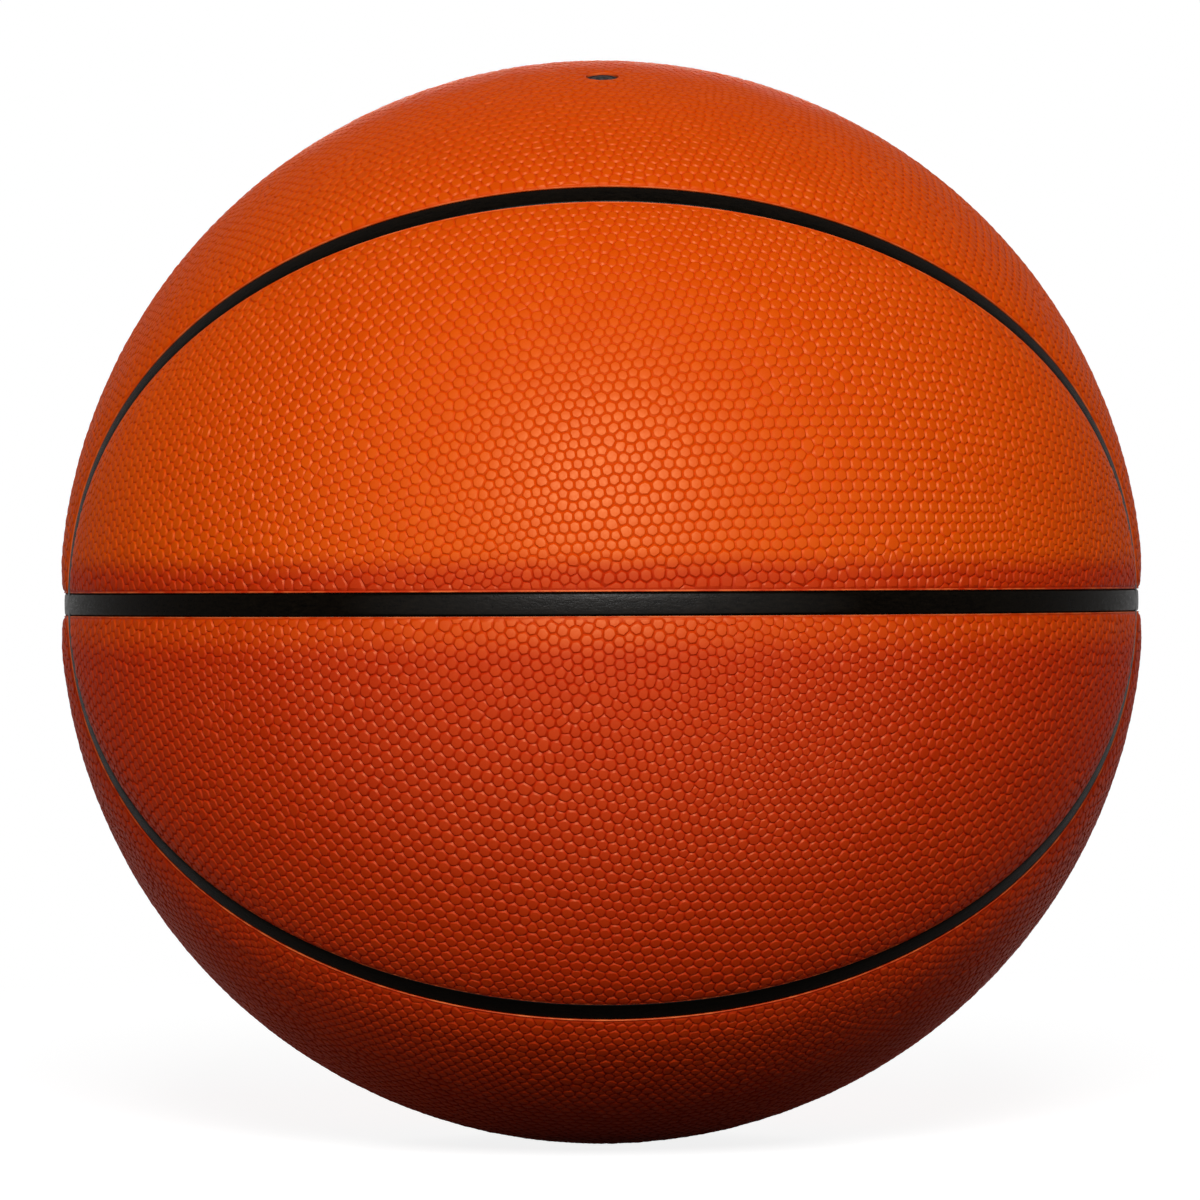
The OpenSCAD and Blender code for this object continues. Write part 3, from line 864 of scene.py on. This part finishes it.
def rubber_finish(name, colour_, scale, rough=0.5):
    """Moulded rubber with a fine sandy grain."""
    t = Finish(name, scale, 45.0)
    tint = t.mixed(t.in_range(t.noise["Grain"], 0.40, 0.66), shaded(colour_, 0.6), shaded(colour_, 2.4))
    tint = t.mixed(t.in_range(t.noise["Blotch"], 0.35, 0.7, 0, 0.5), tint, shaded(colour_, 1.5))
    t.sheen(0.1, 0.02, 0.4)
    return t.done(tint, t.in_range(t.noise["Grain"], *MOST, rough - 0.12, rough + 0.1), t.noise["Grain"], 0.8,
                  0.12 * MM)


def rib_finish(colour_):
    """Moulded rubber with fine streaks along the rib."""
    t = Finish("Rib rubber", 2600.0, 45.0)
    streaks = t.node("TexNoise", {"Vector": t.mark("course", "Vector"),
                                            "W": t.math("MULTIPLY", t.mark("across"), 3.5), "Scale": 480.0,
                                            "Detail": 4.0, "Roughness": 0.7}, noise_dimensions="4D")
    line = t.math("ADD", t.math("MULTIPLY", streaks, 0.65), t.math("MULTIPLY", t.noise["Grain"], 0.35))
    tint = t.mixed(t.in_range(line, 0.38, 0.62), shaded(colour_, 0.3), shaded(colour_, 2.4))
    tint = t.mixed(t.in_range(t.noise["Blotch"], 0.35, 0.7, 0, 0.4), tint, shaded(colour_, 1.8))
    t.sheen(0.14, 0.01, 0.13)
    return t.done(tint, t.in_range(line, 0.35, 0.65, 0.22, 0.46), line, 0.9, 0.15 * MM)


def foam_finish(foam):
    """Open foam with small pores, darker with painted shade."""
    t = Finish("Foam backing", 900.0, 30.0)
    place = t.node("TexCoord").outputs["Object"]
    pores = t.node("TexVoronoi", {"Vector": place, "Scale": 1400.0}).outputs["Distance"]
    tint = t.mixed(t.in_range(t.noise["Blotch"], *MOST), foam, shaded(foam, 0.8))
    # The pores are darker: painted shade in them
    tint = t.mixed(t.in_range(pores, 0.1, 0.35, 1, 0), tint, shaded(foam, 0.35))
    return t.done(tint, t.in_range(t.noise["Grain"], *MOST, 0.85, 0.95), pores, 0.5, 0.15 * MM)


def thread_finish(thread):
    """Waxed thread, wound round the bladder in many crossing turns."""
    t = Finish("Thread winding", 700.0, 25.0)
    place = t.node("TexCoord").outputs["Object"]
    lines = []
    for k, turn in enumerate(((0.3, 0.2, 0.1), (1.4, 0.5, 0.9), (0.7, 1.3, 2.1))):
        turned = t.node("Mapping", {"Vector": place, "Rotation": turn})
        wave = t.node("TexWave", {"Vector": turned, "Scale": 160.0 + 25 * k, "Distortion": 2.0,
                                            "Detail": 1.0, "Detail Scale": 0.3})
        lines.append(t.in_range(wave.outputs["Fac"], 0.45, 0.95))
    wound = t.math("MAXIMUM", t.math("MAXIMUM", lines[0], lines[1]), lines[2])
    # Between the turns the thread is darker: painted shade
    tint = t.mixed(wound, shaded(thread, 0.35), thread)
    tint = t.mixed(t.in_range(t.noise["Blotch"], *MOST, 0, 0.4), tint, shaded(thread, 0.7))
    return t.done(tint, t.in_range(t.noise["Grain"], *MOST, 0.7, 0.85), wound, 0.6, 0.2 * MM)


# Turned and swept shapes


def lathed(name, outline, place, around=64):
    """Closed solid turned from an outline of radius and height, which runs round the solid, and faced outwards."""
    verts, faces = [], []
    count = len(outline)
    for k in range(around):
        turn = 2 * math.pi * k / around
        verts += [place @ Vector((r * math.cos(turn), r * math.sin(turn), z)) for r, z in outline]
        for i in range(count):
            j = (i + 1) % count
            a, b = k * count, (k + 1) % around * count
            faces.append((a + i, a + j, b + j, b + i))
    mesh = new_mesh(name, verts, [], faces)
    # The doubled points at the poles become one
    work = bmesh.new()
    work.from_mesh(mesh)
    bmesh.ops.remove_doubles(work, verts=work.verts, dist=DOUBLED)
    bmesh.ops.delete(work, geom=[edge for edge in work.edges if not edge.link_faces], context="EDGES")
    bmesh.ops.recalc_face_normals(work, faces=work.faces)
    work.to_mesh(mesh)
    work.free()
    mesh.shade_smooth()
    return mesh


def rounded(corners, steps=4):
    """Outline with its corners rounded. Each corner is a radius, a height and its rounding."""
    out = []
    places = np.array([corner[:2] for corner in corners], float)
    for k, (here, (*_, radius)) in enumerate(zip(places, corners)):
        if radius == 0:
            out.append(tuple(here))
            continue
        before = unit(places[k - 1] - here)
        after = unit(places[(k + 1) % len(places)] - here)
        half = math.acos(np.clip(before @ after, -1, 1)) / 2
        reach = radius / math.tan(half)
        centre = here + unit(before + after) * radius / math.sin(half)
        first, last = here + before * reach - centre, here + after * reach - centre
        turn = math.acos(np.clip(first @ last / radius**2, -1, 1))
        for i in range(steps + 1):
            a = i / steps
            p = (math.sin((1 - a) * turn) * first + math.sin(a * turn) * last) / math.sin(turn)
            out.append(tuple(centre + p))
    return out


def ball_shell(name, out_r, in_r, hole_r, place):
    """Closed spherical shell with a hole on the valve's axis."""
    outer = [(out_r, a) for a in np.linspace(math.pi, math.asin(hole_r / out_r), SHELL_STEPS)]
    inner = [(in_r, a) for a in np.linspace(math.asin(hole_r / in_r), math.pi, SHELL_STEPS)]
    outline = [(max(r * math.sin(a), 0) if a < math.pi else 0, r * math.cos(a)) for r, a in outer + inner]
    return lathed(name, outline, place, SHELL_AROUND)


def seam_loops(name, seams, radius):
    """Mesh of the four seams as closed loops of edges: the level, the upright and the two ovals."""
    turn = np.linspace(0, 2 * math.pi, SEAM_POINTS, endpoint=False)
    c, s, o = np.cos(turn), np.sin(turn), np.zeros(len(turn))
    oval = seams.oval_point(turn)[0]
    loops = [np.stack([c, s, o], -1), np.stack([c, o, s], -1), oval, oval * [1, -1, 1]]
    edges = [(k * SEAM_POINTS + i, k * SEAM_POINTS + (i + 1) % SEAM_POINTS)
             for k in range(len(loops)) for i in range(SEAM_POINTS)]
    return new_mesh(name, (np.concatenate(loops) * radius).tolist(), edges, [])


def as_piece(mesh, node, material=None, tree=None, values=None):
    """Object of a mesh that takes the place of a construction solid. It gets a material, or a node tree shapes it."""
    piece = added(mesh.name, mesh)
    if tree:
        raised(piece, tree, values)
    else:
        mesh.materials.append(material)
    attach(piece, "root")
    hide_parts(node)
    return piece


# One operator for each group of like pieces


class BALL_OT_cover(bpy.types.Operator):
    """Makes the eight pebbled cover panels"""

    bl_idname = "ball.cover"
    bl_label = "Cover panels"

    def execute(self, context):
        seams, pebbles = Seams(context.scene.ball_sizes), context.scene.ball_pebbles
        values = {"Table Share": pebbles.table_share, "Table Height": pebbles.table_height,
                  "Roundness": pebbles.roundness, "Material": cover_finish(context.scene.ball_colours)}
        tree = pebble_tree()
        for k, (name, *_) in enumerate(PANELS):
            as_piece(panel_mesh(k, seams, pebbles, True), "cover_" + name, tree=tree,
                     values={**values, "Seed": pebbles.seed + k})
        return {"FINISHED"}


class BALL_OT_foam(bpy.types.Operator):
    """Makes the foam under each cover panel"""

    bl_idname = "ball.foam"
    bl_label = "Foam"

    def execute(self, context):
        seams = Seams(context.scene.ball_sizes)
        finish = foam_finish(context.scene.ball_colours.foam)
        for k, (name, *_) in enumerate(PANELS):
            mesh = panel_mesh(k, seams, context.scene.ball_pebbles, False)
            as_piece(mesh, "pad_" + name, finish)
        return {"FINISHED"}


class BALL_OT_carcass(bpy.types.Operator):
    """Makes the carcass with the ribs that show between the panels"""

    bl_idname = "ball.carcass"
    bl_label = "Carcass and ribs"

    def execute(self, context):
        sizes, rubber = context.scene.ball_sizes, context.scene.ball_colours.rubber
        seams = Seams(sizes)
        hole_r = context.scene.ball_valve.housing_d / 2 + sizes.glue_line
        shell = ball_shell("carcass_shell", seams.carcass_out, seams.carcass_out - sizes.carcass_t, hole_r,
                           seams.valve_place())
        as_piece(shell, "carcass", rubber_finish("Carcass rubber", rubber, 2200.0))
        foot = seams.carcass_out - sizes.carcass_t / 4
        as_piece(seam_loops("carcass_ribs", seams, (seams.rib_top + foot) / 2), "carcass",
                 tree=rib_tree(), values={"Width": sizes.rib_w, "Height": seams.rib_top - foot,
                                          "Corner": sizes.rib_corner, "Crown": RIB_CROWN,
                                          "Material": rib_finish(rubber)})
        return {"FINISHED"}


class BALL_OT_inner(bpy.types.Operator):
    """Gives the thread winding, the bladder and its patch their finishes"""

    bl_idname = "ball.inner"
    bl_label = "Winding and bladder"

    def execute(self, context):
        bladder = rubber_finish("Bladder rubber", (0.03, 0.028, 0.03), 900.0)
        thread = thread_finish(context.scene.ball_colours.thread)
        for node, finish in (("thread_winding", thread), ("bladder", bladder), ("valve_patch", bladder)):
            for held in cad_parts[node].material_slots:
                held.material = finish
        return {"FINISHED"}


class BALL_OT_valve(bpy.types.Operator):
    """Makes the valve's housing and its plug"""

    bl_idname = "ball.valve"
    bl_label = "Valve"

    def execute(self, context):
        seams, sizes = Seams(context.scene.ball_sizes), context.scene.ball_valve
        black, place = context.scene.ball_colours.valve, seams.valve_place()
        top = seams.r - sizes.recess
        flange_top = seams.pad_in - sizes.layers_t
        flange_foot = flange_top - sizes.flange_t
        foot = flange_foot - sizes.barrel_l
        gap, head, stem, bulb = sizes.gap, sizes.head_d / 2, sizes.stem_d / 2, sizes.bulb_d / 2
        bulb_foot = foot + stem + gap
        bulb_top = bulb_foot + sizes.bulb_l
        head_foot = top - sizes.head_t
        wall, flange = sizes.housing_d / 2, sizes.flange_d / 2
        # The flange follows the bladder's inside, so it drops towards its edge
        sag = flange_top - math.sqrt(flange_top**2 - flange**2)
        neck = flange_top - math.sqrt(flange_top**2 - wall**2)
        outer, lip, fine = 0.25 * MM, 0.4 * MM, 0.12 * MM
        housing = [(wall, foot, outer), (wall, flange_foot - neck, 0), (flange, flange_foot - sag, lip),
                   (flange, flange_top - sag, lip), (wall, flange_top - neck, 0), (wall, top, outer),
                   (head + gap, top, fine), (head + gap, head_foot - gap, 0), (stem + gap, head_foot - gap, 0),
                   (stem + gap, bulb_top + gap, 0), (bulb + gap, bulb_top + gap, 0),
                   (bulb + gap, bulb_foot - gap, 0), (stem + gap, bulb_foot - gap, 0), (stem + gap, foot, fine)]
        needle, lead = sizes.needle_d / 2, sizes.lead_in_d / 2
        plug = [(stem, foot, fine), (stem, bulb_foot, 0), (bulb, bulb_foot, 0), (bulb, bulb_top, 0),
                (stem, bulb_top, 0), (stem, head_foot, 0), (head, head_foot, 0), (head, top, 0.3 * MM),
                (lead, top, 0.2 * MM), (needle, top - sizes.lead_in_depth, 0.1 * MM), (needle, foot, fine)]
        as_piece(lathed("housing", rounded(housing), place), "valve_seat",
                 rubber_finish("Valve housing rubber", black, 1500.0))
        as_piece(lathed("plug", rounded(plug), place), "valve_core",
                 rubber_finish("Valve plug rubber", shaded(black, 1.6), 1200.0, 0.45))
        return {"FINISHED"}


class BALL_OT_studio(bpy.types.Operator):
    """Makes the floor, the light and the camera"""

    bl_idname = "ball.studio"
    bl_label = "Studio"

    def execute(self, context):
        self.floor()
        self.room(context.scene, context.scene.ball_studio)
        self.camera(context.scene, context.scene.ball_studio)
        return {"FINISHED"}

    def floor(self):
        """Pale floor, which looks white to the camera and gives little light back. Rays other than the camera's see a
        painted shadow
        under the ball: its glow grows between two distances from the ball's middle, and past two more it is plain
        white."""
        half, low, seen = 6.0, CAD_BOX[0][2], 0.86
        corners = [(-half, -half, low), (half, -half, low), (half, half, low), (-half, half, low)]
        piece = added("floor", new_mesh("floor", corners, [], [(0, 1, 2, 3)]))
        t = Finish("Pale floor")
        piece.data.materials.append(t.material)
        for name, value in (("Base Color", (0.4, 0.4, 0.4)), ("Roughness", 0.9), ("Specular IOR Level", 0.0)):
            t.set(t.shader.inputs[name], value)
        away = t.vector("LENGTH", t.node("TexCoord").outputs["Object"])
        rays = t.node("LightPath").outputs
        # Near the ball the glow that rays other than the camera's see is dim: a painted shadow under the ball
        glow = t.math("MAXIMUM", t.in_range(away, 0.13, 0.24, 0.05, seen),
                      t.math("MULTIPLY", rays["Is Camera Ray"], seen))
        near = t.node("AddShader", {
            0: t.shader, 1: t.node("Emission", {"Color": WHITE, "Strength": glow})})
        far = t.node("Emission", {"Color": WHITE, "Strength": 1.0})
        pale = t.node("MixShader", {"Fac": t.in_range(away, 0.2, 0.6), 1: near, 2: far})
        both = t.node("MixShader", {
            "Fac": rays["Is Diffuse Ray"], 1: pale, 2: t.node("BsdfDiffuse", {"Color": (0.05, 0.05, 0.05)})})
        t.set(t.group.nodes["Material Output"].inputs["Surface"], both)

    def room(self, scene, studio):
        """Room that looks white and gives a little light, and the two lamps."""
        scene.view_settings.view_transform = "Standard"
        world = bpy.data.worlds.new("Room")
        scene.world = world
        world.use_nodes = True
        t = Tree(world.node_tree)
        world.node_tree.nodes.clear()
        path = t.node("LightPath").outputs
        seen = t.math("MAXIMUM", t.math("MAXIMUM", path["Is Camera Ray"], path["Is Glossy Ray"]),
                      path["Is Transmission Ray"])
        dim, white = (t.node("Background", {"Color": WHITE, "Strength": strength})
                      for strength in (studio.fill, 1.0))
        both = t.node("MixShader", {"Fac": seen, 1: dim, 2: white})
        t.node("OutputWorld", {"Surface": both})
        for name, power, azimuth, elevation in (
                ("Key light", studio.key_watts, studio.key_azimuth, studio.key_elevation),
                ("Back light", studio.back_watts, math.pi, studio.back_elevation)):
            lamp = bpy.data.lights.new(name, "AREA")
            lamp.energy = power
            lamp.shape = "SQUARE"
            lamp.size = studio.key_size
            lamp.color = WHITE
            light = added(name, lamp)
            light.location = self.spot(LAMP_DISTANCE, azimuth, elevation)
            light.rotation_euler = (-light.location).to_track_quat("-Z", "Y").to_euler()
            light.visible_camera = False

    def camera(self, scene, studio):
        lens = bpy.data.cameras.new("Camera")
        lens.sensor_width = 36
        lens.lens = studio.focal
        lens.shift_x = -1.5 / 1200
        lens.shift_y = 2 / 1200
        camera = added("Camera", lens)
        camera.location = self.spot(studio.camera_distance, studio.azimuth, studio.elevation)
        aim = (-camera.location).to_track_quat("-Z", "Y").to_matrix()
        camera.rotation_euler = (aim @ Matrix.Rotation(-studio.roll, 3, "Z")).to_euler()
        scene.camera = camera

    def spot(self, distance, azimuth, elevation):
        """Place round the ball: turned to the left of its front, and up."""
        return Vector((-math.sin(azimuth) * math.cos(elevation), -math.cos(azimuth) * math.cos(elevation),
                       math.sin(elevation))) * distance


class BALL_PT_panel(bpy.types.Panel):
    """Sizes, colours and steps of the basketball"""

    bl_label = "Basketball"
    bl_idname = "BALL_PT_panel"
    bl_space_type = "VIEW_3D"
    bl_region_type = "UI"
    bl_category = "Basketball"

    def draw(self, context):
        for name in GROUPS:
            group = getattr(context.scene, name)
            box = self.layout.box()
            box.label(text=name.replace("_", " ").capitalize())
            for key in group.bl_rna.properties.keys():
                if key not in ("rna_type", "name"):
                    box.prop(group, key)
        for operator in OPERATORS:
            self.layout.operator(operator.bl_idname)


GROUPS = {"ball_sizes": BallSizes, "ball_pebbles": PebbleSizes, "ball_colours": BallColours,
          "ball_valve": ValveSizes, "ball_studio": StudioSizes}
OPERATORS = [BALL_OT_studio, BALL_OT_cover, BALL_OT_foam, BALL_OT_carcass, BALL_OT_inner, BALL_OT_valve]
CLASSES = [*GROUPS.values(), *OPERATORS, BALL_PT_panel]


def register():
    for made in CLASSES:
        bpy.utils.register_class(made)
    for name, group in GROUPS.items():
        setattr(bpy.types.Scene, name, PointerProperty(type=group))


def unregister():
    for name in GROUPS:
        delattr(bpy.types.Scene, name)
    for made in reversed(CLASSES):
        bpy.utils.unregister_class(made)


def main():
    register()
    for operator in (bpy.ops.ball.studio, bpy.ops.ball.cover, bpy.ops.ball.foam, bpy.ops.ball.carcass,
                     bpy.ops.ball.inner, bpy.ops.ball.valve):
        operator()


if __name__ == "__main__":
    main()
